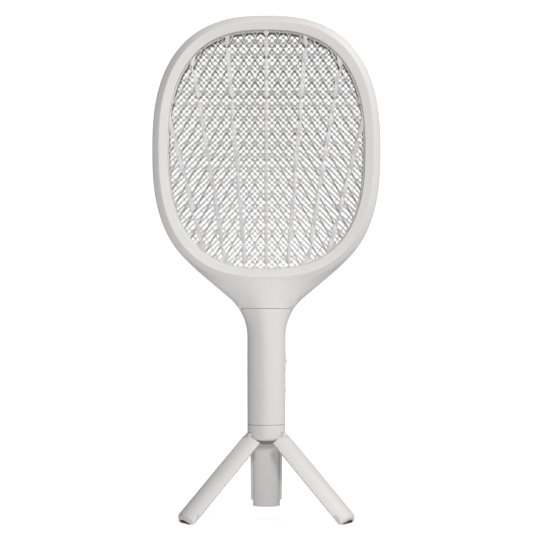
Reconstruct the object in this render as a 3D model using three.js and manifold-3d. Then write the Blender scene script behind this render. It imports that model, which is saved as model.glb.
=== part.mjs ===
// Electric fly swatter: an oval racket head on a round handle whose lower end opens into a tripod.
// Millimetres, +Z up, front towards -Y. The handle's axis is X = Y = 0 and the floor is Z = 0
// while the object is built; the last lines centre the whole object over its origin.
import * as THREE from 'three';
import { mergeVertices } from 'three/addons/utils/BufferGeometryUtils.js';
import { ParametricGeometry } from 'three/addons/geometries/ParametricGeometry.js';
import Module from 'manifold-3d';

const wasm = await Module();
wasm.setup();

// ---------- driving dimensions ----------
const GAP = 0.3; // clearance between touching pieces

// Racket head: superellipses around one centre
const HEAD_Z = 354.5;
const HEAD_A = 110; // half width
const HEAD_B = 129.8; // half height
const OPENING_A = 94.9;
const OPENING_B = 114.9;
const OVAL_POWER = 2.55;
const HEAD_HALF_DEPTH = 14.5;
const RIM_OUT = 3.5; // grille and net rims reach this far outside the opening
const DRAFT = 1.5; // the opening narrows by this much on its way in

// Layers between the two frames, as distances from the middle plane
const GRILLE_FACE = 6.7;
const GRILLE_BACK = 4.9;
const GRILLE_RIM_BACK = 2.9;
const NET_FACE = 2.6;
const NET_BACK = 2.0;
const SPACER_HALF = 1.7;
const TRIM = 0.5; // bars and wires end this far outside the opening, inside their rims
const NET_RIM_IN = 0.6; // rims show this far inside the opening
const SPACER_RIM_IN = 0.9;

// Guard lattice of rhombic cells with straight ribs, and the square-celled net turned by 45 degrees
const DIAMOND_W = 32.7;
const DIAMOND_H = 59.7;
const BAR = 1.5;
const RIB = 3.2;
const NET_PITCH = 66;
const WIRE = 0.8;

// Handle and neck
const HANDLE_R = 18.32;
const WALL = 2.2;
const FLARE_Z = 174.3; // the neck starts to widen
const FLARE_R = 50;
const NECK_ANGLE = THREE.MathUtils.degToRad(40); // the neck's straight flanks above horizontal
const NECK_TOP_Z = 250.6; // the flanks reach the oval
const NECK_BEND_Z = 232;
const NECK_TOP_HALF = 79.2;
const NECK_SEAM_Z = 202;
const NECK_CUT = 9.4; // the neck ends this far outside the opening, inside the ring
const HUB_SEAM_Z = 90.3;
const FORM_POWER = 2.3;
const LEAD_PORT = { half: 9, depth: 6, bottom: 220, top: 234 };

// Screws from the rear along Y: outer face of the head, length, reach of their bosses
const SCREW_SHANK = 1.2;
const SCREW_HEAD = 2.5;
const SCREW_HEAD_T = 1.6;
const PILOT_DEPTH = 10; // blind hole in front of the middle plane
const RING_SCREW = { head: 13.4, length: 21, boss: 11.6 };
const RING_SCREW_TURNS = [0.09, 0.41, 0.61, 0.89];
const RING_SCREW_INSET = 8.6; // from the opening's edge to the screw's axis
const NECK_SCREW = { x: 0, z: 212, head: 15.9, length: 24, boss: 15 };
const HANDLE_SCREWS = [
  { x: -9, z: 181, head: 14.6, length: 18 },
  { x: -12, z: 102.5, head: 13.2, length: 18 },
];
const BOSS_R = 3;
const POST_R = 2.6;
const POST_FRONT = -12;

// Controls on the +X side: distances from the handle's axis are along X
const BEZEL = { z: 151.7, height: 18.5, half: 4, seat: 15.9, top: 18.8 };
const SLIDE_TRAVEL = 3;
const SLOT_HALF_WIDTH = 1.4;
const SWITCH = { back: 8.5, floor: 10.2, face: 12.3, half: 4, halfHeight: 6.5 };
const KNOB = { foot: 10.6, base: 19, top: 20, stem: 1.1, half: 2.6, halfHeight: 1.5 };
const BUTTON = { z: 125.5, r: 5.05, foot: 12.9, flange: 14, flangeR: 5.6, top: 18.75, edge: 0.6, crown: 0.2 };
const BUTTON_TRAVEL = 0.8;
const TACT = { back: 8.5, face: 11.4, half: 3, wellR: 1.9, plungerR: 1.6, plungerL: 1.8 };

// Circuit board on edge along the handle, with its tall parts on the cell's side
const BOARD = { x: 7, thickness: 1.2, half: 11, bottom: 108, top: 197 };
const TRANSFORMER = { height: 11, half: 7, bottom: 177, top: 190 };
const CAPACITOR = { height: 6, half: 6, bottom: 192, top: 197 };

// Battery and charging
const CELL = { r: 9.1, length: 65, x: -4.6, z: 109, tipR: 3, tipL: 1.2 };
const CHARGE_BOARD = { half: 9, y: 7, thickness: 1.2, below: 3, above: 7.5 };
const PORT = { z: 98, half: 4.5, halfHeight: 1.6, wall: 0.4, back: 8.5, floor: 11, mouth: 17.9 };
const CHARGE_LIGHT = { x: 7, above: 4.5, r: 1.2, mouth: 17.2 };

// Leads from the board to the nets: insulation radius and the route of one lead; the other mirrors it in Y
const LEAD_R = 0.7;
const LEAD_ROUTE = [{ x: -5, y: 2.3, z: 234.9 }, { x: -5, y: 3, z: 222 }, { x: -3, y: 3, z: 205 },
  { x: 0, y: 2.5, z: 198 }];

// Tripod
const HUB_BOTTOM_Z = 75.4;
const HUB_CHAMFER = 2;
const HUB_SPIGOT = 3; // height of the plug inside the handle's lower end
const SKIRT_Z = 82.8;
const SKIRT_R = 16.75; // inside of the hub's skirt above each leg's ear
const PIVOT_R = 13.2;
const PIVOT_Z = 82.3;
const OPEN_ANGLE = THREE.MathUtils.degToRad(44.5);
const LEG_AZIMUTHS = { front_left: 210, front_right: 330, rear: 90 };
const LEG_TOP = 8; // below the pivot, measured along the leg
const LEG_TOP_EDGE = 0.8;
const LEG_END = 110.7;
const LEG_END_WALL = 5.9;
const LEG_FILLET = 4.5;
const LEG_SPLIT = 0.4; // cut face to the plane between two legs
const LEG_FLANK = 13.5; // half width between the shell's flanks
const COVER_NEAR = 4.95; // cover's closest point to the handle's axis
const COVER_EDGE = 8.1; // its distance from the handle's axis at the flanks
const COVER_T = 1.8;
const EAR_R = 3.2;
const EAR_HALF = 3.2;
const EAR_ROOT = 2; // the ear is rooted this far below the leg's top
const SLOT_HALF = 3.5;
const PIN_R = 1.25;
const PIN_HALF = 7;
const PIN_PLAY = 0.06;
const PAD_R = 13.2;
const PAD_T = 2.8;
const PAD_PROUD = 0.6;

const BIG = 400;

// ---------- materials ----------
const paint = (color, roughness, metalness = 0) =>
  new THREE.MeshStandardMaterial({ color, roughness, metalness });
const SHELL = paint('#dad7d4', 0.45);
const CONTROL = paint('#cfccc9', 0.5);
const NET_METAL = paint('#77736f', 0.4, 0.9);
const STEEL = paint('#9a9a9a', 0.35, 1);
const RUBBER = paint('#3a3938', 0.85);
const BOARD_GREEN = paint('#2d6b46', 0.6);
const COMPONENT = paint('#2b2b2d', 0.6);
const CELL_WRAP = paint('#3d6fa8', 0.5);
const YELLOW_FILM = paint('#c9a227', 0.5);
const LENS = paint('#e8efe8', 0.2);
const RED_LEAD = paint('#a8322c', 0.6);
const BLACK_LEAD = paint('#262626', 0.6);

const object = new THREE.Group();

// ---------- solids from geometries ----------
function solid(geometry) {
  const bare = geometry.index ? geometry.toNonIndexed() : geometry.clone();
  bare.deleteAttribute('normal');
  bare.deleteAttribute('uv');
  const merged = mergeVertices(bare, 1e-4);
  const position = merged.getAttribute('position');
  const corners = [];
  let volume = 0;
  const [p, q, r] = [new THREE.Vector3(), new THREE.Vector3(), new THREE.Vector3()];
  for (let i = 0; i < merged.index.count; i += 3) {
    const triangle = [0, 1, 2].map((k) => merged.index.getX(i + k));
    if (new Set(triangle).size < 3) continue;
    [p, q, r].forEach((point, k) => point.fromBufferAttribute(position, triangle[k]));
    volume += p.dot(q.cross(r));
    corners.push(triangle);
  }
  if (volume < 0) corners.forEach((triangle) => triangle.reverse());
  const vertProperties = new Float32Array(position.array);
  const triVerts = new Uint32Array(corners.flat());
  return new wasm.Manifold(new wasm.Mesh({ numProp: 3, vertProperties, triVerts }));
}

function geometryOf(body) {
  const mesh = body.getMesh();
  const geometry = new THREE.BufferGeometry();
  geometry.setAttribute('position', new THREE.BufferAttribute(new Float32Array(mesh.vertProperties), 3));
  geometry.setIndex(new THREE.BufferAttribute(new Uint32Array(mesh.triVerts), 1));
  geometry.computeVertexNormals();
  return geometry;
}

function add(name, body, material, parent = object) {
  const mesh = new THREE.Mesh(geometryOf(body), material);
  mesh.name = name;
  parent.add(mesh);
  return mesh;
}

function box(x0, x1, y0, y1, z0, z1) {
  const geometry = new THREE.BoxGeometry(x1 - x0, y1 - y0, z1 - z0);
  return solid(geometry.translate((x0 + x1) / 2, (y0 + y1) / 2, (z0 + z1) / 2));
}

// Cylinder between two values along one axis: 'x', 'y' or 'z'
function rod(axis, radius, from, to, at, sides = 20) {
  const geometry = new THREE.CylinderGeometry(radius, radius, to - from, sides);
  if (axis === 'x') geometry.rotateZ(-Math.PI / 2);
  if (axis === 'z') geometry.rotateX(Math.PI / 2);
  const centre = { x: at[0], y: at[1], z: at[2] };
  centre[axis] = (from + to) / 2;
  return solid(geometry.translate(centre.x, centre.y, centre.z));
}

// Outline drawn in X and Z, between two values of Y
function plate(shape, y0, y1, curveSegments = 12) {
  const geometry = new THREE.ExtrudeGeometry(shape, { depth: y1 - y0, bevelEnabled: false, curveSegments });
  return solid(geometry.rotateX(Math.PI / 2).translate(0, y1, 0));
}

// Outline drawn in X and Y, between two values of Z
function prism(shape, z0, z1, curveSegments = 12) {
  const geometry = new THREE.ExtrudeGeometry(shape, { depth: z1 - z0, bevelEnabled: false, curveSegments });
  return solid(geometry.translate(0, 0, z0));
}

const join = (bodies) => bodies.reduce((sum, body) => sum.add(body));
const power = (value, exponent) => Math.sign(value) * Math.abs(value) ** exponent;

// ---------- racket head ----------
function ovalPoint(turn, a, b) {
  const angle = turn * 2 * Math.PI;
  const x = a * power(Math.cos(angle), 2 / OVAL_POWER);
  const z = HEAD_Z + b * power(Math.sin(angle), 2 / OVAL_POWER);
  return [x, z];
}

const OVAL_STEPS = 36;

function oval(grow) {
  const points = Array.from({ length: OVAL_STEPS }, (_, i) =>
    new THREE.Vector2(...ovalPoint(i / OVAL_STEPS, OPENING_A + grow, OPENING_B + grow)));
  return new THREE.Shape(points);
}

const ovalRing = (inner, outer, y0, y1) =>
  plate(oval(outer), y0, y1).subtract(plate(oval(inner), y0 - 1, y1 + 1));

// Section of one head frame: across is 0 at the opening and 1 at the outer edge
const FRAME_SECTION = [
  [-DRAFT / (HEAD_A - OPENING_A), -7], [0, -13.2], [0.55, -HEAD_HALF_DEPTH],
  [0.86, -11.6], [1, -GAP / 2], [0.87, -GAP / 2], [0.76, -9.8], [0.15, -11.2], [0.05, -7],
];

function frameRing() {
  const count = FRAME_SECTION.length;
  const surface = (u, v, target) => {
    const [across, y] = FRAME_SECTION[Math.round(v * count) % count];
    const a = OPENING_A + across * (HEAD_A - OPENING_A);
    const b = OPENING_B + across * (HEAD_B - OPENING_B);
    const [x, z] = ovalPoint(u, a, b);
    target.set(x, y, z);
  };
  return solid(new ParametricGeometry(surface, OVAL_STEPS, count));
}

// ---------- neck and handle form ----------
function halfWidth(z) {
  const arcTop = FLARE_Z + FLARE_R * Math.cos(NECK_ANGLE);
  if (z <= FLARE_Z) return HANDLE_R;
  if (z <= arcTop) return HANDLE_R + FLARE_R - Math.sqrt(FLARE_R ** 2 - (z - FLARE_Z) ** 2);
  const slope = 1 / Math.tan(NECK_ANGLE);
  const arcEnd = HANDLE_R + FLARE_R * (1 - Math.sin(NECK_ANGLE));
  const line = arcEnd + (z - arcTop) * slope;
  if (z <= NECK_BEND_Z) return line;
  const bendHalf = arcEnd + (NECK_BEND_Z - arcTop) * slope;
  const span = NECK_TOP_Z - NECK_BEND_Z;
  const bend = (bendHalf + slope * span - NECK_TOP_HALF) / span ** 2;
  return line - bend * (z - NECK_BEND_Z) ** 2;
}

function halfDepth(z) {
  const blend = THREE.MathUtils.smoothstep(z, FLARE_Z, 240);
  return HANDLE_R + (HEAD_HALF_DEPTH - 1.4 - HANDLE_R) * blend;
}

const FORM_LEVELS = [HUB_SEAM_Z, FLARE_Z, 184, 194, 203, 212.6, NECK_BEND_Z, 242, NECK_TOP_Z];

// Loft of superellipses up the handle and neck, inset from the outer surface
function handleForm(inset) {
  const levels = FORM_LEVELS;
  const count = levels.length + 1;
  const surface = (u, v, target) => {
    const step = Math.round(v * count);
    const z = levels[THREE.MathUtils.clamp(step - 1, 0, levels.length - 1)];
    const open = step > 0 && step < count ? 1 : 0;
    const roundness = 2 + (FORM_POWER - 2) * THREE.MathUtils.smoothstep(z, FLARE_Z, 232);
    const angle = u * 2 * Math.PI;
    const a = open * (halfWidth(z) - inset);
    const b = open * (halfDepth(z) - inset);
    target.set(a * power(Math.cos(angle), 2 / roundness), b * power(Math.sin(angle), 2 / roundness), z);
  };
  return solid(new ParametricGeometry(surface, 32, count));
}

const outerForm = handleForm(0);
const innerForm = handleForm(WALL);

// ---------- screws and their holes ----------
const RING_SCREWS = RING_SCREW_TURNS.map((turn) => {
  const [x, z] = ovalPoint(turn, OPENING_A + RING_SCREW_INSET, OPENING_B + RING_SCREW_INSET);
  return { x, z, ...RING_SCREW };
});
const HEAD_SCREWS = [...RING_SCREWS, NECK_SCREW];
const seatOf = (screw) => screw.head - SCREW_HEAD_T - GAP;

// Room for a screw: its shank, and a counterbore for its head from the rear
const screwHole = (screw) => rod('y', SCREW_SHANK + GAP, -PILOT_DEPTH, BIG, [screw.x, 0, screw.z], 8)
  .add(rod('y', SCREW_HEAD + GAP, seatOf(screw), BIG, [screw.x, 0, screw.z], 12));

// Pan-head screw along Y with its head to the rear
function screw(name, { x, z, head, length }) {
  const profile = [[0, 0], [SCREW_HEAD, 0], [SCREW_HEAD, SCREW_HEAD_T], [SCREW_SHANK, SCREW_HEAD_T],
    [SCREW_SHANK, length], [0, length]].map(([r, depth]) => new THREE.Vector2(r, head - depth));
  add(name, solid(new THREE.LatheGeometry(profile, 12).translate(x, 0, z)), STEEL);
}

function screws() {
  RING_SCREWS.forEach((place, i) => screw(`ring_screw_${i + 1}`, place));
  screw('neck_screw', NECK_SCREW);
  HANDLE_SCREWS.forEach((place, i) => screw(`handle_screw_${i + 1}`, place));
}

// ---------- head frames ----------
function headFrames() {
  const ring = frameRing();
  const neck = outerForm.subtract(innerForm).subtract(plate(oval(NECK_CUT), -BIG, BIG));
  const bosses = HEAD_SCREWS.map(({ x, z, boss }) => rod('y', BOSS_R, -boss, boss, [x, 0, z], 8));
  const { half, depth, bottom, top } = LEAD_PORT;
  const port = box(-half, half, -depth, depth, bottom, top);
  const casing = join([ring, ring.mirror([0, 1, 0]), neck, ...bosses])
    .subtract(join([port, ...HEAD_SCREWS.map(screwHole)]));
  const seam = NECK_SEAM_Z + GAP / 2;
  const above = HEAD_Z + BIG;
  add('head_front_frame', casing.intersect(box(-BIG, BIG, -BIG, -GAP / 2, seam, above)), SHELL);
  add('head_rear_frame', casing.intersect(box(-BIG, BIG, GAP / 2, BIG, seam, above)), SHELL);
}

// ---------- guard grilles and nets ----------
// Straight bar in the XZ plane between two points
function bar(x0, z0, x1, z1, width, y0, y1) {
  const length = Math.hypot(x1 - x0, z1 - z0);
  const geometry = new THREE.BoxGeometry(width, y1 - y0, length);
  geometry.rotateY(Math.atan2(x1 - x0, z1 - z0));
  return solid(geometry.translate((x0 + x1) / 2, (y0 + y1) / 2, (z0 + z1) / 2));
}

// Two families of parallel bars, crossing every (cellW, cellH), long enough to span the opening
function lattice(cellW, cellH, width, y0, y1) {
  const reach = OPENING_B + 10;
  const shift = (reach * cellW) / cellH;
  const count = Math.ceil((OPENING_A + shift) / cellW);
  const bars = [];
  for (let i = -count; i <= count; i += 1) {
    const x = (i + 0.5) * cellW;
    bars.push(bar(x - shift, HEAD_Z - reach, x + shift, HEAD_Z + reach, width, y0, y1));
    bars.push(bar(x + shift, HEAD_Z - reach, x - shift, HEAD_Z + reach, width, y0, y1));
  }
  return bars;
}

// Seven ribs close in towards the handle: X and Z of their upper and lower ends
const RIBS = [
  { top: [0, 475], bottom: [0, 235] },
  { top: [39.2, 474], bottom: [20.3, 238] },
  { top: [76.5, 460], bottom: [38.5, 238] },
  { top: [93.5, 386], bottom: [60, 256] },
];

function ribs(y0, y1) {
  return RIBS.flatMap(({ top, bottom }) => (top[0] > 0 ? [1, -1] : [1]).map((side) =>
    bar(side * bottom[0], bottom[1], side * top[0], top[1], RIB, y0, y1)));
}

function grilles() {
  const [y0, y1] = [-GRILLE_FACE, -GRILLE_BACK];
  const web = join([...lattice(DIAMOND_W, DIAMOND_H, BAR, y0, y1), ...ribs(y0, y1)]);
  const trimmed = web.intersect(plate(oval(TRIM), -BIG, BIG));
  const front = trimmed.add(ovalRing(-DRAFT, RIM_OUT, y0, -GRILLE_RIM_BACK));
  add('front_grille', front, SHELL);
  add('rear_grille', front.mirror([0, 1, 0]), SHELL);
}

function nets() {
  const web = join(lattice(NET_PITCH, NET_PITCH, WIRE, -NET_FACE, -NET_BACK));
  const trimmed = web.intersect(plate(oval(TRIM), -BIG, BIG));
  const front = trimmed.add(ovalRing(-NET_RIM_IN, RIM_OUT, -NET_FACE, -NET_BACK));
  add('front_net', front, NET_METAL);
  add('rear_net', front.mirror([0, 1, 0]), NET_METAL);
  add('net_spacer', ovalRing(-SPACER_RIM_IN, RIM_OUT, -SPACER_HALF, SPACER_HALF), SHELL);
}

// ---------- handle shells ----------
function handleShells() {
  const posts = HANDLE_SCREWS.map((place) =>
    rod('y', POST_R, POST_FRONT, seatOf(place) + GAP, [place.x, 0, place.z], 8));
  const bezelHalf = BEZEL.half + GAP;
  const bezelRise = BEZEL.height / 2 + GAP;
  const window = box(CELL.r, BIG, -bezelHalf, bezelHalf, BEZEL.z - bezelRise, BEZEL.z + bezelRise);
  const buttonHole = rod('x', BUTTON.r + GAP, CELL.r, BIG, [0, 0, BUTTON.z], 24);
  const tube = join([outerForm.subtract(innerForm), ...posts])
    .subtract(join([window, buttonHole, ...HANDLE_SCREWS.map(screwHole)]))
    .intersect(box(-BIG, BIG, -BIG, BIG, HUB_SEAM_Z + GAP / 2, NECK_SEAM_Z - GAP / 2));
  const [side, rise] = [PORT.half + GAP, PORT.halfHeight + GAP];
  const socketHole = box(-side, side, PORT.back, BIG, PORT.z - rise, PORT.z + rise);
  const lightAt = [CHARGE_LIGHT.x, 0, PORT.z + CHARGE_LIGHT.above];
  const lightHole = rod('y', CHARGE_LIGHT.r + GAP, PORT.back, BIG, lightAt, 12);
  const rear = tube.intersect(box(-BIG, BIG, GAP / 2, BIG, -BIG, BIG));
  add('handle_front_shell', tube.intersect(box(-BIG, BIG, -BIG, -GAP / 2, -BIG, BIG)), SHELL);
  add('handle_rear_shell', rear.subtract(socketHole).subtract(lightHole), SHELL);
}

// ---------- controls ----------
function slideSwitch() {
  const slotRise = SLIDE_TRAVEL + SLOT_HALF_WIDTH;
  const slotHalf = SLOT_HALF_WIDTH;
  const slot = box(SWITCH.floor, BIG, -slotHalf, slotHalf, BEZEL.z - slotRise, BEZEL.z + slotRise);
  const rise = BEZEL.height / 2;
  const bezel = box(BEZEL.seat, BEZEL.top, -BEZEL.half, BEZEL.half, BEZEL.z - rise, BEZEL.z + rise);
  add('switch_bezel', bezel.subtract(slot), CONTROL);

  const body = box(SWITCH.back, SWITCH.face, -SWITCH.half, SWITCH.half,
    BEZEL.z - SWITCH.halfHeight, BEZEL.z + SWITCH.halfHeight);
  add('slide_switch_body', body.subtract(slot), COMPONENT);

  const { foot, stem: stemHalf, base, top, half, halfHeight } = KNOB;
  const stem = box(foot, base + GAP, -stemHalf, stemHalf, BEZEL.z - stemHalf, BEZEL.z + stemHalf);
  const grip = box(base, top, -half, half, BEZEL.z - halfHeight, BEZEL.z + halfHeight);
  add('mode_slider', stem.add(grip), CONTROL);
}

function trigger() {
  const profile = [[0, BUTTON.foot], [BUTTON.flangeR, BUTTON.foot], [BUTTON.flangeR, BUTTON.flange],
    [BUTTON.r, BUTTON.flange], [BUTTON.r, BUTTON.top - BUTTON.edge],
    [BUTTON.r - BUTTON.edge, BUTTON.top - BUTTON.crown], [0, BUTTON.top]];
  const button = new THREE.LatheGeometry(profile.map(([r, x]) => new THREE.Vector2(r, x)), 24);
  add('trigger_button', solid(button.rotateZ(-Math.PI / 2).translate(0, 0, BUTTON.z)), CONTROL);

  const plungerTip = BUTTON.foot - GAP;
  const plungerFoot = plungerTip - TACT.plungerL;
  const body = box(TACT.back, TACT.face, -TACT.half, TACT.half, BUTTON.z - TACT.half, BUTTON.z + TACT.half);
  const well = rod('x', TACT.wellR, plungerFoot - BUTTON_TRAVEL - GAP, BIG, [0, 0, BUTTON.z], 12);
  add('tact_switch', body.subtract(well), COMPONENT);
  add('tact_plunger', rod('x', TACT.plungerR, plungerFoot, plungerTip, [0, 0, BUTTON.z], 12), COMPONENT);
}

// ---------- electronics ----------
// A block standing on the board's inner face
const onBoard = ({ height, half, bottom, top }) =>
  box(BOARD.x - GAP - height, BOARD.x - GAP, -half, half, bottom, top);

function electronics() {
  const board = box(BOARD.x, BOARD.x + BOARD.thickness, -BOARD.half, BOARD.half, BOARD.bottom, BOARD.top);
  add('circuit_board', board, BOARD_GREEN);
  add('hv_transformer', onBoard(TRANSFORMER), YELLOW_FILM);
  add('hv_capacitor', onBoard(CAPACITOR), CELL_WRAP);
  const cellTop = CELL.z + CELL.length;
  const tip = rod('z', CELL.tipR, cellTop - 0.1, cellTop + CELL.tipL, [CELL.x, 0, 0], 12);
  add('battery_cell', rod('z', CELL.r, CELL.z, cellTop, [CELL.x, 0, 0], 24).add(tip), CELL_WRAP);
}

function charging() {
  const { half, y, thickness, below, above } = CHARGE_BOARD;
  add('charge_board', box(-half, half, y, y + thickness, PORT.z - below, PORT.z + above), BOARD_GREEN);
  const low = PORT.z - PORT.halfHeight;
  const shell = box(-PORT.half, PORT.half, PORT.back, PORT.mouth, low, low + 2 * PORT.halfHeight);
  const [hollow, rise] = [PORT.half - PORT.wall, PORT.halfHeight - PORT.wall];
  const cavity = box(-hollow, hollow, PORT.floor, BIG, PORT.z - rise, PORT.z + rise);
  add('charge_socket', shell.subtract(cavity), STEEL);
  const light = [CHARGE_LIGHT.x, 0, PORT.z + CHARGE_LIGHT.above];
  add('charge_light', rod('y', CHARGE_LIGHT.r, PORT.back, CHARGE_LIGHT.mouth, light, 12), LENS);
}

// Insulated wire along the route, on one side of the middle plane
function lead(name, side, material) {
  const path = new THREE.CatmullRomCurve3(LEAD_ROUTE.map(({ x, y, z }) => new THREE.Vector3(x, side * y, z)));
  const section = new THREE.Shape().absarc(0, 0, LEAD_R, 0, 2 * Math.PI);
  const geometry = new THREE.ExtrudeGeometry(section, { extrudePath: path, steps: 10, curveSegments: 4 });
  add(name, solid(geometry), material);
}

// ---------- tripod ----------
const ROUND = 32;
const lathe = (points) => solid(new THREE.LatheGeometry(
  points.map(([r, z]) => new THREE.Vector2(r, z)), ROUND).rotateX(Math.PI / 2));

function hub() {
  const rim = HUB_CHAMFER;
  const plug = HANDLE_R - WALL - GAP;
  let body = lathe([[0, HUB_BOTTOM_Z], [HANDLE_R - rim, HUB_BOTTOM_Z],
    [HANDLE_R - rim / 4, HUB_BOTTOM_Z + rim / 2], [HANDLE_R, HUB_BOTTOM_Z + rim],
    [HANDLE_R, HUB_SEAM_Z - GAP / 2], [plug, HUB_SEAM_Z - GAP / 2],
    [plug, HUB_SEAM_Z + HUB_SPIGOT], [0, HUB_SEAM_Z + HUB_SPIGOT]]);
  const room = EAR_R + 2 * GAP;
  for (const azimuth of Object.values(LEG_AZIMUTHS)) {
    const well = box(PIVOT_R - room, SKIRT_R, -SLOT_HALF, SLOT_HALF, 0, PIVOT_Z + room);
    const mouth = box(SKIRT_R - 0.1, BIG, -SLOT_HALF, SLOT_HALF, 0, SKIRT_Z);
    const pinHole = rod('y', PIN_R + PIN_PLAY, -PIN_HALF - GAP, PIN_HALF + GAP, [PIVOT_R, 0, PIVOT_Z], 16);
    body = body.subtract(join([well, mouth, pinHole]).rotate([0, 0, azimuth]));
  }
  add('tripod_hub', body, SHELL);
}

// Leg coordinates: origin at the pivot, X away from the handle's axis, Z up when folded
const coverRadius = (LEG_FLANK ** 2 + (COVER_EDGE - COVER_NEAR) ** 2) / (2 * (COVER_EDGE - COVER_NEAR));
const coverCentre = COVER_NEAR + coverRadius;

// Shape bounded by straight sides at |y| = half and by an arc around the cover's centre
function arcPoints(radius, half, steps = 6) {
  const sweep = Math.asin(half / radius);
  return Array.from({ length: steps + 1 }, (_, i) => {
    const angle = Math.PI - sweep + (2 * sweep * i) / steps;
    return [coverCentre + radius * Math.cos(angle), radius * Math.sin(angle)];
  });
}

const outline = (points) => new THREE.Shape(points.map(([x, y]) => new THREE.Vector2(x, y)));

function legEnvelope() {
  const end = -LEG_END;
  const corner = [1, 2].map((i) => {
    const angle = (i / 3) * (Math.PI / 2);
    const lift = LEG_FILLET * (1 - Math.sin(angle));
    return [HANDLE_R - LEG_FILLET * (1 - Math.cos(angle)), end + lift];
  });
  const column = lathe([[0, end], [HANDLE_R - LEG_FILLET, end], ...corner.reverse(),
    [HANDLE_R, end + LEG_FILLET], [HANDLE_R, -LEG_TOP - LEG_TOP_EDGE],
    [HANDLE_R - LEG_TOP_EDGE, -LEG_TOP], [0, -LEG_TOP]]);
  const apex = LEG_SPLIT / Math.sin(Math.PI / 3);
  const reach = 2 * HANDLE_R;
  const spread = reach * Math.sqrt(3);
  const wedge = outline([[apex, 0], [apex + reach, -spread], [apex + reach, spread]]);
  return column.intersect(prism(wedge, -BIG, BIG));
}

// Everything below the floor when the leg stands open
const underFloor = (lift) => box(-BIG, BIG, -BIG, BIG, -BIG, lift - PIVOT_Z)
  .rotate([0, THREE.MathUtils.radToDeg(OPEN_ANGLE), 0]).translate([PIVOT_R, 0, 0]);

function ear() {
  const [cos, sin] = [Math.cos(OPEN_ANGLE), Math.sin(OPEN_ANGLE)];
  const stop = SKIRT_Z - GAP - PIVOT_Z; // height of the ear's stop face over the pivot when open
  const outer = HANDLE_R - PIVOT_R;
  const inner = [EAR_R * cos + stop * sin, -(EAR_R * sin - stop * cos)];
  const tip = [outer, -(outer * sin - stop) / cos];
  const root = -LEG_TOP - EAR_ROOT;
  const flat = outline([[0, 0], [-EAR_R, 0], [-EAR_R, root], [outer, root], tip, inner]);
  const cheeks = plate(flat, -EAR_HALF, EAR_HALF).add(rod('y', EAR_R, -EAR_HALF, EAR_HALF, [0, 0, 0], 20));
  return cheeks.translate([PIVOT_R, 0, 0]).intersect(rod('z', HANDLE_R, -BIG, BIG, [0, 0, 0], ROUND));
}

function legShell() {
  const nearAxis = outline([[-COVER_EDGE, -LEG_FLANK], [-COVER_EDGE, LEG_FLANK],
    ...arcPoints(coverRadius - COVER_T - GAP, LEG_FLANK)]);
  const hollow = rod('z', HANDLE_R - WALL, LEG_END_WALL - LEG_END, -LEG_TOP - EAR_ROOT, [0, 0, 0], ROUND)
    .intersect(box(-BIG, BIG, -LEG_FLANK, LEG_FLANK, -BIG, BIG));
  const recess = padOutline(GAP, PAD_TOP + GAP);
  const pinHole = rod('y', PIN_R + PIN_PLAY, -BIG, BIG, [PIVOT_R, 0, 0], 16);
  const trough = legEnvelope().subtract(prism(nearAxis, -BIG, BIG)).subtract(hollow).subtract(recess);
  return trough.subtract(underFloor(GAP)).add(ear()).subtract(pinHole);
}

function legCover() {
  const outer = arcPoints(coverRadius, LEG_FLANK - GAP);
  const inner = arcPoints(coverRadius - COVER_T, LEG_FLANK - GAP).reverse();
  return prism(outline([...outer, ...inner]), -LEG_END, -LEG_TOP - GAP).subtract(underFloor(GAP));
}

// Rubber pad's column, from its upper face down past the leg's end
const PAD_TOP = PAD_T - PAD_PROUD - LEG_END;

function padOutline(grow, top) {
  const disc = rod('z', PAD_R + grow, -BIG, top, [0, 0, 0], ROUND);
  return disc.intersect(rod('z', coverRadius - COVER_T - 2 * GAP + grow, -BIG, top, [coverCentre, 0, 0], 48));
}

const footPad = () => padOutline(0, PAD_TOP)
  .intersect(box(-BIG, BIG, -BIG, BIG, -LEG_END - PAD_PROUD, 0)).subtract(underFloor(0));

function legs() {
  for (const [name, azimuth] of Object.entries(LEG_AZIMUTHS)) {
    const heading = new THREE.Group();
    heading.rotation.z = THREE.MathUtils.degToRad(azimuth);
    object.add(heading);
    add(`hinge_pin_${name}`, rod('y', PIN_R, -PIN_HALF, PIN_HALF, [PIVOT_R, 0, PIVOT_Z], 16), STEEL, heading);
    const leg = new THREE.Group();
    leg.position.set(PIVOT_R, 0, PIVOT_Z);
    leg.rotation.y = -OPEN_ANGLE;
    heading.add(leg);
    const fromPivot = (body) => body.translate([-PIVOT_R, 0, 0]);
    add(`leg_shell_${name}`, fromPivot(legShell()), SHELL, leg);
    add(`leg_cover_${name}`, fromPivot(legCover()), SHELL, leg);
    add(`foot_pad_${name}`, fromPivot(footPad()), RUBBER, leg);
  }
}

headFrames();
grilles();
nets();
handleShells();
slideSwitch();
trigger();
electronics();
charging();
lead('live_lead', -1, RED_LEAD);
lead('ground_lead', 1, BLACK_LEAD);
screws();
hub();
legs();

// The origin is under the middle of the object's box, on the floor
object.updateMatrixWorld(true);
const middle = new THREE.Box3().setFromObject(object, true).getCenter(new THREE.Vector3());
object.position.set(0, -middle.y, 0);

export default object;
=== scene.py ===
"""Electric fly swatter on its tripod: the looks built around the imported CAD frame.

Shapes are worked out in millimetres about the handle's axis (X to the right, -Y to the front, Z up
from the floor) and are turned into the row frame's metres as each mesh is made.
"""
import math

import bmesh
import bpy
import numpy as np
from mathutils import Matrix, Vector


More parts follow.
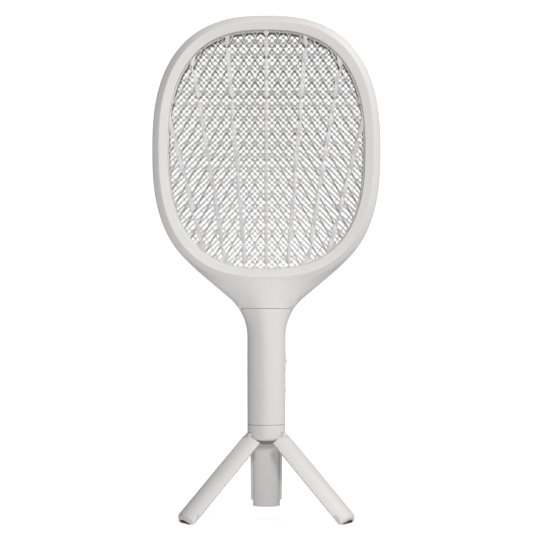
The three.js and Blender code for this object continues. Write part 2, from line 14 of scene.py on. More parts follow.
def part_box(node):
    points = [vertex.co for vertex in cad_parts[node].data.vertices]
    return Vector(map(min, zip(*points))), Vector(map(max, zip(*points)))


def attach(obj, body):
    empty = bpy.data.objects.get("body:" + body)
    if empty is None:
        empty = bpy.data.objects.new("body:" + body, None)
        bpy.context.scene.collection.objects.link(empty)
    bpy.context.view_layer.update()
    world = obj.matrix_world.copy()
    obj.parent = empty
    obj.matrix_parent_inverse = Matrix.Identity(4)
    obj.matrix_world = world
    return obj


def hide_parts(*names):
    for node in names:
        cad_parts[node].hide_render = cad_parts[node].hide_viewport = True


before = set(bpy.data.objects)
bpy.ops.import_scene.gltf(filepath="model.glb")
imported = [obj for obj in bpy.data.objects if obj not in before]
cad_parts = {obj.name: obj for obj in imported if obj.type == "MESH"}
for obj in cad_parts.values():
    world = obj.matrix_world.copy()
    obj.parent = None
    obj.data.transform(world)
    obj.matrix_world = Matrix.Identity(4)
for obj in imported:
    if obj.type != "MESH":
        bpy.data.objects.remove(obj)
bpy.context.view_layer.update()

# ---------- driving dimensions, millimetres ----------
MM = 0.001
_low, _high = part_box("tripod_hub")
AXIS_X = (_low.x + _high.x) / 2
AXIS_Y = (_low.y + _high.y) / 2

HEAD_Z = 354.5
HEAD_A, HEAD_B = 110.0, 129.8
OPEN_A, OPEN_B = 94.9, 114.9
OVAL_POWER = 2.55
HEAD_DEPTH = 14.5
RIDGE = 0.55              # share of the ring's width where its crease runs
RING_W = HEAD_A - OPEN_A
PARTING = 0.15            # half of the gap between front and rear pieces

HANDLE_R = 18.32
WALL = 2.2
FLARE_Z, FLARE_R = 174.3, 50.0
NECK_SLOPE = 1 / math.tan(math.radians(40))
NECK_BEND_Z, NECK_TOP_Z, NECK_TOP_HALF = 232.0, 250.6, 79.2
NECK_SEAM_Z, HUB_SEAM_Z = 202.0, 90.3
NECK_FOOT_Z = NECK_SEAM_Z + PARTING
NECK_ROUND = 2.05
NECK_DEPTH = HEAD_DEPTH - 0.2

PIVOT_R, PIVOT_Z = 13.2, 82.3
OPEN_ANGLE = math.radians(44.5)
LEGS = {"front_left": math.radians(210), "front_right": math.radians(330), "rear": math.radians(90)}


# ---------- camera ----------
def add_camera():
    """Level camera in front of the handle's axis, as high as the neck's seam."""
    distance, height = 1.545, 0.202
    field, shift_right, shift_up = 18.93, 0.0003, 0.0788
    data = bpy.data.cameras.new("camera")
    data.sensor_fit = "HORIZONTAL"
    data.angle = math.radians(field)
    data.shift_x = shift_right
    data.shift_y = shift_up
    camera = bpy.data.objects.new("camera", data)
    camera.location = (AXIS_X, AXIS_Y - distance, height)
    camera.rotation_euler = (math.pi / 2, 0, 0)
    bpy.context.scene.collection.objects.link(camera)
    bpy.context.scene.camera = camera


add_camera()


# ---------- materials ----------
def set_sockets(node, **values):
    """Sets a node's sockets by name, with _ for each space."""
    for socket, value in values.items():
        node.inputs[socket.replace("_", " ")].default_value = value


def new_material(name, **settings):
    material = bpy.data.materials.new(name)
    material.use_nodes = True
    shader = material.node_tree.nodes["Principled BSDF"]
    set_sockets(shader, **settings)
    return material, material.node_tree, shader


def add_node(tree, kind, **values):
    node = tree.nodes.new("ShaderNode" + kind)
    set_sockets(node, **values)
    return node


def link(tree, source, output, target, socket):
    tree.links.new(source.outputs[output], target.inputs[socket])


def noise(tree, coords, scale, detail=3.0, rough=0.55):
    node = add_node(tree, "TexNoise", Scale=scale, Detail=detail, Roughness=rough)
    link(tree, coords, "Object", node, "Vector")
    return node


def spread(tree, source, output, low, high):
    """Stretches the middle of a noise pattern, 0.3 to 0.7, over the range low to high."""
    node = add_node(tree, "MapRange", From_Min=0.3, From_Max=0.7, To_Min=low, To_Max=high)
    link(tree, source, output, node, "Value")
    return node


def blend_colours(tree, factor, output, dark, light):
    node = tree.nodes.new("ShaderNodeMix")
    node.data_type = "RGBA"
    node.inputs["A"].default_value = (*dark, 1)
    node.inputs["B"].default_value = (*light, 1)
    link(tree, factor, output, node, "Factor")
    return node


def finish_bump(tree, shader, height, output, strength, distance):
    bump = add_node(tree, "Bump", Strength=strength, Distance=distance)
    link(tree, height, output, bump, "Height")
    link(tree, bump, "Normal", shader, "Normal")


def speckled(name, dark, light, rough, scale, grain, bump=0.15, depth=0.00004, **settings):
    """Moulded or drawn surface: cloudy colour, uneven roughness and a fine grain."""
    material, tree, shader = new_material(name, **settings)
    coords = tree.nodes.new("ShaderNodeTexCoord")
    clouds = spread(tree, noise(tree, coords, scale), "Fac", 0, 1)
    colour = blend_colours(tree, clouds, "Result", dark, light)
    link(tree, colour, "Result", shader, "Base Color")
    patches = noise(tree, coords, scale * 2.3, detail=4)
    link(tree, spread(tree, patches, "Fac", *rough), "Result", shader, "Roughness")
    fine = noise(tree, coords, grain, detail=2)
    finish_bump(tree, shader, fine, "Fac", bump, depth)
    return material


def brushed(name, dark, light, rough, stretch, **settings):
    """Metal with fine scratches drawn out along one axis."""
    material, tree, shader = new_material(name, Metallic=1.0, **settings)
    coords = tree.nodes.new("ShaderNodeTexCoord")
    mapping = add_node(tree, "Mapping", Scale=stretch)
    link(tree, coords, "Object", mapping, "Vector")
    streaks = add_node(tree, "TexNoise", Scale=900, Detail=4)
    link(tree, mapping, "Vector", streaks, "Vector")
    tone = spread(tree, streaks, "Fac", 0, 1)
    link(tree, blend_colours(tree, tone, "Result", dark, light), "Result", shader, "Base Color")
    link(tree, spread(tree, streaks, "Fac", *rough), "Result", shader, "Roughness")
    finish_bump(tree, shader, streaks, "Fac", 0.12, 0.00003)
    return material


def shell_plastic():
    """Warm light grey ABS with a fine spark-eroded grain."""
    material, tree, shader = new_material("shell_plastic", Specular_IOR_Level=0.26)
    coords = tree.nodes.new("ShaderNodeTexCoord")
    clouds = spread(tree, noise(tree, coords, 11, detail=5), "Fac", 0, 1)
    flow = blend_colours(tree, clouds, "Result", (0.672, 0.652, 0.638), (0.692, 0.673, 0.660))
    specks = noise(tree, coords, 2600, detail=1)
    tint = blend_colours(tree, spread(tree, specks, "Fac", 0, 1), "Result", (0.985,) * 3, (1.0,) * 3)
    mix = tree.nodes.new("ShaderNodeMix")
    mix.data_type = "RGBA"
    mix.blend_type = "MULTIPLY"
    mix.inputs["Factor"].default_value = 1
    link(tree, flow, "Result", mix, "A")
    link(tree, tint, "Result", mix, "B")
    link(tree, mix, "Result", shader, "Base Color")
    patches = noise(tree, coords, 45, detail=5)
    link(tree, spread(tree, patches, "Fac", 0.44, 0.54), "Result", shader, "Roughness")
    grain = noise(tree, coords, 1900, detail=3)
    finish_bump(tree, shader, grain, "Fac", 0.10, 0.00005)
    return material


MATERIALS = {
    "shell": shell_plastic(),
    "control_plastic": speckled("control_plastic", (0.645, 0.625, 0.610), (0.675, 0.655, 0.640),
                                (0.34, 0.44), 60, 2400, bump=0.08),
    "net_metal": brushed("net_wire", (0.035, 0.033, 0.032), (0.07, 0.067, 0.064), (0.42, 0.58), (1, 1, 1)),
    "steel": brushed("zinc_plated_steel", (0.42, 0.42, 0.43), (0.60, 0.60, 0.60), (0.26, 0.42), (1, 6, 1)),
    "rubber": speckled("foot_rubber", (0.020, 0.019, 0.018), (0.040, 0.038, 0.036), (0.62, 0.82),
                       150, 3000, bump=0.35, depth=0.00008),
    "board": speckled("board_laminate", (0.010, 0.085, 0.035), (0.018, 0.125, 0.055),
                      (0.28, 0.42), 320, 1500),
    "component_plastic": speckled("component_moulding", (0.014, 0.014, 0.016), (0.030, 0.030, 0.033),
                                  (0.42, 0.60), 180, 2500),
    "cell_wrap": speckled("cell_wrap", (0.030, 0.110, 0.320), (0.045, 0.150, 0.400), (0.22, 0.34), 90, 900),
    "yellow_film": speckled("winding_film", (0.55, 0.36, 0.03), (0.66, 0.45, 0.05), (0.30, 0.45), 140, 700),
    "light_pipe": speckled("light_pipe", (0.72, 0.78, 0.72), (0.84, 0.89, 0.84), (0.16, 0.28), 160, 1200,
                           bump=0.05, Transmission_Weight=0.25),
    "red_lead": speckled("red_insulation", (0.34, 0.020, 0.015), (0.46, 0.035, 0.025),
                         (0.36, 0.50), 200, 1500),
    "black_lead": speckled("black_insulation", (0.012, 0.012, 0.012), (0.028, 0.028, 0.028), (0.38, 0.52),
                           200, 1500),
}


# ---------- meshes ----------
def to_row(points):
    """Millimetres about the handle's axis to metres in the row frame."""
    points = np.asarray(points, float).reshape(-1, 3)
    return points * MM + np.array([AXIS_X, AXIS_Y, 0.0])


def make(name, bm, smooth_angle=32):
    """An object from a bmesh in millimetres about the handle's axis."""
    bmesh.ops.recalc_face_normals(bm, faces=bm.faces)
    mesh = bpy.data.meshes.new(name)
    bm.to_mesh(mesh)
    bm.free()
    co = np.empty(len(mesh.vertices) * 3)
    mesh.vertices.foreach_get("co", co)
    mesh.vertices.foreach_set("co", to_row(co).ravel())
    mesh.polygons.foreach_set("use_smooth", [True] * len(mesh.polygons))
    mesh.set_sharp_from_angle(angle=math.radians(smooth_angle))
    mesh.update()
    obj = bpy.data.objects.new(name, mesh)
    bpy.context.scene.collection.objects.link(obj)
    return obj


def place(obj, body, slot, *replaced):
    """Finish for one piece: its material, the body it rides on and the CAD nodes it stands for."""
    obj.data.materials.clear()
    obj.data.materials.append(MATERIALS[slot])
    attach(obj, body)
    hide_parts(*replaced)
    return obj


def grid(rows, wrap_rows=False, wrap_columns=False, cap_ends=False):
    """A bmesh skin over rows of points; rows and columns may close on themselves."""
    rows = np.asarray(rows, float)
    count, width = rows.shape[:2]
    bm = bmesh.new()
    verts = [[bm.verts.new(point) for point in row] for row in rows]
    for i in range(count if wrap_rows else count - 1):
        for j in range(width if wrap_columns else width - 1):
            a, b = verts[i], verts[(i + 1) % count]
            k = (j + 1) % width
            bm.faces.new((a[j], a[k], b[k], b[j]))
    if cap_ends:
        bm.faces.new(verts[0])
        bm.faces.new(verts[-1])
    return bm


def turn(bm, angle, axis="Z"):
    bmesh.ops.rotate(bm, verts=bm.verts, matrix=Matrix.Rotation(angle, 3, axis))
    return bm


def shift(bm, offset):
    bmesh.ops.translate(bm, verts=bm.verts, vec=offset)
    return bm


def lathe(profile, sides, axis="z", centre=(0, 0, 0)):
    """A turned solid: profile holds (radius, height) from one end on the axis to the other."""
    rings = [(r, h) for r, h in profile if r > 1e-6]
    angles = np.linspace(0, 2 * math.pi, sides, endpoint=False)
    rows = [[(r * math.cos(t), r * math.sin(t), h) for t in angles] for r, h in rings]
    bm = grid(rows, wrap_columns=True, cap_ends=True)
    if axis == "x":
        turn(bm, math.pi / 2, "Y")
    if axis == "y":
        turn(bm, -math.pi / 2, "X")
    return shift(bm, centre)


def extrude(outline, low, high, axis="z"):
    """A prism over an outline of 2-D points, between two values along one axis."""
    at = "xyz".index(axis)
    rows = [[(*point[:at], level, *point[at:]) for point in outline] for level in (low, high)]
    return grid(rows, wrap_columns=True, cap_ends=True)


def block(x0, x1, y0, y1, z0, z1):
    return extrude([(x0, y0), (x1, y0), (x1, y1), (x0, y1)], z0, z1)


def merge(*parts):
    """Several solids in one bmesh."""
    whole = bmesh.new()
    for part in parts:
        mesh = bpy.data.meshes.new("part")
        part.to_mesh(mesh)
        whole.from_mesh(mesh)
        bpy.data.meshes.remove(mesh)
        part.free()
    return whole


def temp_object(bm):
    bmesh.ops.recalc_face_normals(bm, faces=bm.faces)
    mesh = bpy.data.meshes.new("temp")
    bm.to_mesh(mesh)
    bm.free()
    obj = bpy.data.objects.new("temp", mesh)
    bpy.context.scene.collection.objects.link(obj)
    return obj


def discard(obj):
    mesh = obj.data
    bpy.data.objects.remove(obj)
    bpy.data.meshes.remove(mesh)


def applied(obj):
    """The object's mesh with its modifiers applied, as a bmesh; the object is removed."""
    shown = obj.evaluated_get(bpy.context.evaluated_depsgraph_get())
    mesh = bpy.data.meshes.new_from_object(shown)
    bm = bmesh.new()
    bm.from_mesh(mesh)
    bpy.data.meshes.remove(mesh)
    discard(obj)
    return bm


def cut(bm, *tools, operation="DIFFERENCE"):
    """bm minus (or crossed with) each tool in turn."""
    for tool in tools:
        target, cutter = temp_object(bm), temp_object(tool)
        modifier = target.modifiers.new("cut", "BOOLEAN")
        modifier.operation = operation
        modifier.solver = "EXACT"
        modifier.object = cutter
        bpy.context.view_layer.update()
        bm = applied(target)
        discard(cutter)
    return bm


def rounded(bm, width, segments=2, angle=35):
    """bm with its sharp edges rounded off."""
    bmesh.ops.remove_doubles(bm, verts=bm.verts, dist=1e-4)
    bmesh.ops.dissolve_limit(bm, angle_limit=math.radians(0.05), verts=bm.verts, edges=bm.edges)
    obj = temp_object(bm)
    modifier = obj.modifiers.new("round", "BEVEL")
    modifier.width = width
    modifier.segments = segments
    modifier.limit_method = "ANGLE"
    modifier.angle_limit = math.radians(angle)
    modifier.use_clamp_overlap = True
    modifier.miter_outer = "MITER_ARC"
    bpy.context.view_layer.update()
    return applied(obj)


def arc(cx, cy, radius, start, end, steps):
    """Points on a circle from one angle to another, in degrees."""
    return [(cx + radius * math.cos(math.radians(t)), cy + radius * math.sin(math.radians(t)))
            for t in np.linspace(start, end, steps)]


def stadium(half_u, half_v, radius, steps=8, z=0):
    """Rectangle with round corners, its middle at the height z."""
    points = []
    for u, v, start in ((1, 1, 0), (-1, 1, 90), (-1, -1, 180), (1, -1, 270)):
        points += arc(u * (half_u - radius), v * (half_v - radius), radius, start, start + 90, steps)
    return [(u, v + z) for u, v in points]


# ---------- forms of head, neck and handle ----------
def oval_radius(angle, grow):
    """Distance from the head's centre to the oval that lies grow mm outside the opening."""
    share = grow / RING_W
    a = OPEN_A + share * (HEAD_A - OPEN_A)
    b = OPEN_B + share * (HEAD_B - OPEN_B)
    p = OVAL_POWER
    return (np.abs(np.cos(angle) / a) ** p + np.abs(np.sin(angle) / b) ** p) ** (-1 / p)


def outside_by(x, z):
    """How far a point lies outside the opening, in mm across the ring."""
    radius = np.hypot(x, z - HEAD_Z)
    angle = np.arctan2(z - HEAD_Z, x)
    inner, outer = oval_radius(angle, 0), oval_radius(angle, RING_W)
    return (radius - inner) / (outer - inner) * RING_W


def smoothstep(value, low, high):
    t = np.clip((value - low) / (high - low), 0, 1)
    return t * t * (3 - 2 * t)


def half_width(z):
    """Half the handle's width, which flares out into the neck's flanks."""
    z = np.asarray(z, float)
    arc_top = FLARE_Z + FLARE_R * math.cos(math.radians(40))
    arc_end = HANDLE_R + FLARE_R * (1 - math.sin(math.radians(40)))
    flare = HANDLE_R + FLARE_R - np.sqrt(np.maximum(FLARE_R ** 2 - np.maximum(z - FLARE_Z, 0) ** 2, 0))
    line = arc_end + (z - arc_top) * NECK_SLOPE
    span = NECK_TOP_Z - NECK_BEND_Z
    bend = (arc_end + (NECK_BEND_Z - arc_top) * NECK_SLOPE + NECK_SLOPE * span - NECK_TOP_HALF) / span ** 2
    upper = line - bend * np.maximum(z - NECK_BEND_Z, 0) ** 2
    return np.where(z <= arc_top, flare, upper)


def half_depth(z):
    """Half the handle's depth, which thins towards the head."""
    return HANDLE_R + (NECK_DEPTH - HANDLE_R) * smoothstep(z, FLARE_Z, 240)


def roundness(z):
    """Power of the handle's section: 2 is an ellipse."""
    return 2 + (NECK_ROUND - 2) * smoothstep(z, FLARE_Z, NECK_BEND_Z)


def neck_height(x, z):
    """Depth of the neck's surface in front of the middle plane."""
    share = np.clip(np.abs(x) / half_width(z), 0, 1)
    power = roundness(z)
    return half_depth(z) * (1 - share ** power) ** (1 / power) - 2.5 * np.maximum(z - NECK_TOP_Z, 0)


def ring_height(grow, filled=0.0):
    """Depth of the ring's outer slope, grow mm outside the opening: nearly straight, round at its edge.

    Where the neck fills it out, filled is 1 and the slope runs on almost level with no edge.
    """
    share = (grow / RING_W - RIDGE) / (1 - RIDGE)
    inside = np.clip(share, 0, 1)
    drop = RING_W * (1 - RIDGE)
    slope = HEAD_DEPTH - drop * (0.83 * inside + 0.24 * inside ** 2)
    edged = slope * (1 - inside ** 18) ** (1 / 3) - 30 * np.maximum(share - 1, 0)
    level = HEAD_DEPTH - 0.2 * drop * np.maximum(share, 0)
    return edged * (1 - filled) + level * filled


def soft_max(a, b, width):
    """The larger of two, with the change from one to the other rounded over a width."""
    return np.maximum(a, b) + np.maximum(width - np.abs(a - b), 0) ** 2 / (4 * width)


def neck_share(angle, x, z):
    """How much of the ring's outer slope is filled out by the neck here, 0 to 1."""
    from_below = abs((math.degrees(angle) + 270) % 360 - 180)
    flank = min(1, abs(x) / float(half_width(min(z, NECK_TOP_Z))))
    return (1 - float(smoothstep(from_below, 18, 42))) * (1 - flank ** 4)


def outline_radius(angle):
    """Distance from the head's centre to the outline: the ring, the neck's flanks or its seam."""
    ring = oval_radius(angle, RING_W)
    if math.sin(angle) > -0.5:
        return ring
    drop, side = -math.sin(angle), abs(math.cos(angle))
    far = (HEAD_Z - NECK_FOOT_Z) / drop
    if side * far <= half_width(NECK_FOOT_Z):
        return far
    near = 90.0
    for _ in range(50):
        middle = (near + far) / 2
        z = HEAD_Z - middle * drop
        inside = middle < ring or (z < NECK_TOP_Z and middle * side < half_width(z))
        near, far = (middle, far) if inside else (near, middle)
    return near


# ---------- head frames ----------
SLOPE_NEAR, SLOPE_FAR = 6, 25     # points on a section's outer slope: beside the ridge, then to the outline


def ring_inner_profile():
    """Inner wall, rounded edge and dished face of the ring: (mm outside the opening, depth)."""
    wall = [(-0.9, 7.0), (-0.88, 7.15), (-0.66, 9.2), (-0.38, 11.3), (-0.2, 12.5)]
    edge = [(-0.12, 12.92), (0.02, 13.12), (0.22, 13.24), (0.5, 13.30)]
    face = [(grow, 13.30 + (grow - 0.5) * 0.154) for grow in (1.2, 2.4, 3.6, 4.8, 6.0, 7.0)]
    return wall + edge + face


def ring_crease():
    """The rounded ridge between the dished face and the outer slope."""
    ridge, half = RIDGE * RING_W, 0.65
    start, corner = (ridge - half, HEAD_DEPTH - 0.10), (ridge, HEAD_DEPTH)
    end = (ridge + half, float(ring_height(ridge + half)))
    return [tuple((1 - t) ** 2 * a + 2 * t * (1 - t) * b + t ** 2 * c for a, b, c in zip(start, corner, end))
            for t in np.linspace(0, 1, 6)]


def frame_columns():
    """Angles of the frame's sections: along the neck's seam, then round the head and back to it."""
    corner = math.atan2(NECK_FOOT_Z - HEAD_Z, half_width(NECK_FOOT_Z))
    top = math.atan2(NECK_TOP_Z - HEAD_Z, NECK_TOP_HALF)
    half_turn = math.pi
    spans = [(-half_turn - corner, corner, 40), (corner, top, 56), (top, half_turn - top, 400),
             (half_turn - top, half_turn - corner, 56)]
    return np.concatenate([np.linspace(a, b, n, endpoint=False) for a, b, n in spans])


def frame_section(angle):
    """One closed section of the front frame, along a ray from the head's centre."""
    ray = np.array([math.cos(angle), math.sin(angle)])
    end = outline_radius(angle)
    points = [(oval_radius(angle, grow), depth) for grow, depth in ring_inner_profile()]
    spread_out = [(oval_radius(angle, grow), depth) for grow, depth in ring_crease()]
    start = spread_out[-1][0]
    near = start + np.linspace(0, 1, SLOPE_NEAR + 1)[1:] * min(2.6, 0.4 * (end - start))
    far = near[-1] + np.sin(np.linspace(0, math.pi / 2, SLOPE_FAR + 1))[1:] * (end - near[-1])
    spread_out += [(radius, None) for radius in list(near) + list(far)]
    for radius, depth in spread_out:
        x, z = radius * ray[0], HEAD_Z + radius * ray[1]
        if depth is None:
            depth = float(ring_height(outside_by(x, z), neck_share(angle, x, z)))
        if z < NECK_TOP_Z + 8:
            neck = max(float(neck_height(x, z)), -20)
            upper = max(depth, neck, 0)
            blend = min(0.8 + 2.5 * (HEAD_DEPTH - upper), 0.9 * upper + 0.01)
            depth = soft_max(depth, neck, blend)
        points.append((radius, max(float(depth), PARTING)))
    at_seam = HEAD_Z + end * ray[1] < NECK_FOOT_Z + 0.01
    chamfer = 0.32 if at_seam else 0
    last_depth = points[-1][1]
    points[-1] = (end - chamfer, last_depth)
    points.append((end, max(last_depth - chamfer, PARTING)))
    skin = 2.0
    outer = points[len(ring_inner_profile()):]
    for radius, depth in outer[::-3]:
        back = min(radius, end - (0 if at_seam else skin))
        points.append((max(back, oval_radius(angle, 2.2)), max(depth - skin, PARTING)))
    points += [(oval_radius(angle, grow), depth) for grow, depth in ((6.0, 12.0), (2.2, 11.2), (0.8, 7.0))]
    return [(radius * ray[0], -depth, HEAD_Z + radius * ray[1]) for radius, depth in points]


def oval_point(share, grow):
    """A point grow mm outside the opening, at a share of a turn round it."""
    angle = share * 2 * math.pi
    power = 2 / OVAL_POWER
    x = (OPEN_A + grow) * math.copysign(abs(math.cos(angle)) ** power, math.cos(angle))
    z = HEAD_Z + (OPEN_B + grow) * math.copysign(abs(math.sin(angle)) ** power, math.sin(angle))
    return x, z


# x, z and the depth of the head's face
RING_SCREWS = [(*oval_point(share, 8.6), 13.4) for share in (0.09, 0.41, 0.61, 0.89)]
NECK_SCREW = (0.0, 212.0, 15.9)
HANDLE_SCREWS = [(-9.0, 181.0, 14.6), (-12.0, 102.5, 13.2)]
SCREW_HEAD, SCREW_HEAD_T = 2.5, 1.6
THREAD_PITCH = 0.7
GAP = 0.3                 # clearance between neighbouring pieces
BEYOND = 30.0             # cutting tools end here, outside the casing


def counterbore(x, z, head):
    """The recess that a screw's head sits in, from the rear."""
    seat = head - SCREW_HEAD_T - GAP
    r = SCREW_HEAD + GAP
    return lathe([(r, seat), (r, BEYOND)], 40, "y", (x, 0, z))


def ease_neck(sections, angles, passes=60):
    """Evens out the surface between the ring's ridge and the outline round the neck."""
    first = len(ring_inner_profile()) + len(ring_crease())
    last = first + SLOPE_NEAR + SLOPE_FAR - 1
    sections = np.array(sections)
    depth = sections[:, first - 1:last + 1, 1].copy()
    from_below = np.abs((np.degrees(angles) + 270) % 360 - 180)
    share = (1 - smoothstep(from_below, 34, 44))[:, None] * 0.5
    for _ in range(passes):
        across = (np.roll(depth, 1, axis=0) + np.roll(depth, -1, axis=0))[:, 1:-1]
        along = depth[:, :-2] + depth[:, 2:]
        depth[:, 1:-1] += share * ((across + along) / 4 - depth[:, 1:-1])
    sections[:, first - 1:last + 1, 1] = depth
    return sections


def mirrored(bm):
    """A copy of a front piece for the rear."""
    rear = bm.copy()
    for vert in rear.verts:
        vert.co.y = -vert.co.y
    return rear


def add_head_frames():
    angles = frame_columns()
    sections = ease_neck([frame_section(angle) for angle in angles], angles)
    front = grid(sections, wrap_rows=True, wrap_columns=True)
    bmesh.ops.remove_doubles(front, verts=front.verts, dist=1e-4)
    rear = mirrored(front)
    place(make("front_head_frame", front, 40), "racket", "shell", "head_front_frame")
    rear = cut(rear, *[counterbore(*screw) for screw in (*RING_SCREWS, NECK_SCREW)])
    place(make("rear_head_frame", rear, 40), "racket", "shell", "head_rear_frame")


# ---------- guard grilles ----------
CELL_W, CELL_H = 10.93, 19.91
NODE_Z = 323.729          # height of the crossing in column 0, row 0
BAR_W = 0.95
BAR_FACE, BAR_BACK = 8.5, 6.7
RIB_FACE = 8.95
RIB_W = 4.1
RIB_REACH = 3.9           # a rib fills the cells whose middles lie this near to its own middle
CELL_FILL = 0.94          # share of a cell that a rib may fill
RIM_CLIP = -0.6           # bars end here, inside the rim
# upper and lower point of each rib's middle, to the right of the axis; each but the first has a twin
RIB_GUIDES = [((0, 475), (0, 235)), ((38.1, 461), (21.0, 247)),
              ((71.1, 439), (39.5, 246)), ((92.2, 379), (62.7, 267))]


def lattice_points(odd):
    """Column, row, x and z of the lattice's crossings (odd is 0) or of its cells' middles (odd is 1)."""
    for column in range(-20, 21):
        for row in range(-26, 27):
            if (column + row) % 2 == odd:
                yield column, row, column * CELL_W / 2, NODE_Z - row * CELL_H / 2


def lattice_nodes():
    """Crossings of the rhombic lattice in and near the opening, as {(column, row): (x, z)}."""
    return {(column, row): (x, z) for column, row, x, z in lattice_points(0) if outside_by(x, z) < 14}


def clip_length(a, b):
    """Share of the way from a, inside the rim, to b at which the rim's oval is crossed."""
    low, high = 0.0, 1.0
    for _ in range(24):
        t = (low + high) / 2
        x, z = a[0] + (b[0] - a[0]) * t, a[1] + (b[1] - a[1]) * t
        low, high = (t, high) if outside_by(x, z) < RIM_CLIP else (low, t)
    return low


def node_corners(centre, width):
    """Right, up, left and down corners where two crossing bars' edges meet."""
    slope = math.atan2(CELL_H, CELL_W)
    u, v = width / 2 / math.sin(slope), width / 2 / math.cos(slope)
    x, z = centre
    return [(x + u, z), (x, z + v), (x - u, z), (x, z - v)]


def bar_mesh():
    """The lattice as one skin with chamfered front edges."""
    nodes_at = lattice_nodes()
    inside = {key for key, at in nodes_at.items() if outside_by(*at) < RIM_CLIP}
    bm = bmesh.new()
    levels = [(-BAR_FACE, BAR_W - 0.4), (-BAR_FACE + 0.35, BAR_W), (-BAR_BACK, BAR_W)]
    corners = {}
    for key in inside:
        corners[key] = [[bm.verts.new((x, y, z)) for x, z in node_corners(nodes_at[key], width)]
                        for y, width in levels]
        bm.faces.new(corners[key][0])
        bm.faces.new(corners[key][-1])
    directions = [(1, -1), (-1, -1), (-1, 1), (1, 1)]   # up is a row less
    for key in inside:
        for k, (dc, dr) in enumerate(directions):
            other = (key[0] + dc, key[1] + dr)
            if other in inside and k > 1:
                continue                            # drawn from its other end
            near = [[ring[k], ring[(k + 1) % 4]] for ring in corners[key]]
            if other in inside:
                far = [[ring[(k + 3) % 4], ring[(k + 2) % 4]] for ring in corners[other]]
            else:
                a = nodes_at[key]
                b = (a[0] + dc * CELL_W / 2, a[1] - dr * CELL_H / 2)
                t = clip_length(a, b)
                move = Vector(((b[0] - a[0]) * t, 0, (b[1] - a[1]) * t))
                far = [[bm.verts.new(v.co + move) for v in pair] for pair in near]
                bm.faces.new((far[0][0], far[0][1], far[1][1], far[1][0]))
                bm.faces.new((far[1][0], far[1][1], far[2][1], far[2][0]))
            bm.faces.new((near[0][0], near[0][1], far[0][1], far[0][0]))
            bm.faces.new((near[2][0], near[2][1], far[2][1], far[2][0]))
            for s in (0, 1):
                for level in (0, 1):
                    bm.faces.new((near[level][s], far[level][s], far[level + 1][s], near[level + 1][s]))
    return bm


def clip_polygon(points, normal, limit):
    """Part of a convex polygon where point . normal <= limit."""
    kept = []
    for i, p in enumerate(points):
        q = points[(i + 1) % len(points)]
        dp = p[0] * normal[0] + p[1] * normal[1] - limit
        dq = q[0] * normal[0] + q[1] * normal[1] - limit
        if dp <= 0:
            kept.append(p)
        if dp * dq < 0:
            t = dp / (dp - dq)
            kept.append((p[0] + (q[0] - p[0]) * t, p[1] + (q[1] - p[1]) * t))
    return kept


def rib_cells():
    """Outlines of the filled stretches where each rib crosses a cell of the lattice."""
    outlines = []
    u, v = CELL_W / 2 * CELL_FILL, CELL_H / 2 * CELL_FILL
    for (top_x, top_z), (low_x, low_z) in RIB_GUIDES:
        for side in ((1, -1) if top_x else (1,)):
            slope = side * (top_x - low_x) / (top_z - low_z)
            length = math.hypot(1, slope)
            normal = (1 / length, -slope / length)
            middle = side * low_x * normal[0] + low_z * normal[1]
            for _, _, x, z in lattice_points(1):
                guide = side * low_x + (z - low_z) * slope
                if abs(x - guide) > RIB_REACH or outside_by(x, z) > 4:
                    continue
                cell = [(x + u, z), (x, z + v), (x - u, z), (x, z - v)]
                cell = clip_polygon(cell, normal, middle + RIB_W / 2)
                cell = clip_polygon(cell, (-normal[0], -normal[1]), -middle + RIB_W / 2)
                if len(cell) > 2:
                    outlines.append(cell)
    return outlines


def shrink(outline, share):
    """The outline drawn in towards its middle."""
    cx = sum(p[0] for p in outline) / len(outline)
    cz = sum(p[1] for p in outline) / len(outline)
    return [(cx + (x - cx) * share, cz + (z - cz) * share) for x, z in outline]


def fit_to_rim(outline):
    """The outline with any point past the rim drawn back to it, towards the head's centre."""
    fitted = []
    for x, z in outline:
        if outside_by(x, z) > RIM_CLIP:
            angle = math.atan2(z - HEAD_Z, x)
            radius = oval_radius(angle, RIM_CLIP)
            x, z = radius * math.cos(angle), HEAD_Z + radius * math.sin(angle)
        fitted.append((x, z))
    return fitted


def oval_band(inner, outer, y_front, y_back, edge=0.15, steps=240):
    """A closed oval ring of nearly rectangular section, with small edge bevels."""
    section = [(inner, y_front + edge), (inner + edge, y_front), (outer - edge, y_front),
               (outer, y_front + edge), (outer, y_back - edge), (outer - edge, y_back),
               (inner + edge, y_back), (inner, y_back - edge)]
    rows = []
    for angle in np.linspace(0, 2 * math.pi, steps, endpoint=False):
        row = []
        for grow, y in section:
            radius = oval_radius(angle, grow)
            row.append((radius * math.cos(angle), y, HEAD_Z + radius * math.sin(angle)))
        rows.append(row)
    return grid(rows, wrap_rows=True, wrap_columns=True)


def rib_mesh():
    """The ribs' filled stretches, each a plate with a rounded face."""
    levels = [(-RIB_FACE, 0.92), (-RIB_FACE + 0.1, 0.965), (-RIB_FACE + 0.3, 1.0), (-BAR_BACK, 1.0)]
    plates = []
    for cell in rib_cells():
        outline = fit_to_rim(cell)
        rows = [[(x, y, z) for x, z in shrink(outline, share)] for y, share in levels]
        plates.append(grid(rows, wrap_columns=True, cap_ends=True))
    return merge(*plates)


def add_grilles():
    rim = oval_band(-1.5, 1.6, -BAR_FACE, -2.9)
    front = merge(bar_mesh(), rib_mesh(), rim)
    rear = mirrored(front)
    place(make("front_guard_grille", front), "racket", "shell", "front_grille")
    place(make("rear_guard_grille", rear), "racket", "shell", "rear_grille")


# ---------- nets ----------
WIRE_GAP = 5.49 / math.sqrt(2)
WIRE_R, WEAVE = 0.19, 0.11
NET_Y = 2.3
NET_CROSS_Z = HEAD_Z - 0.6


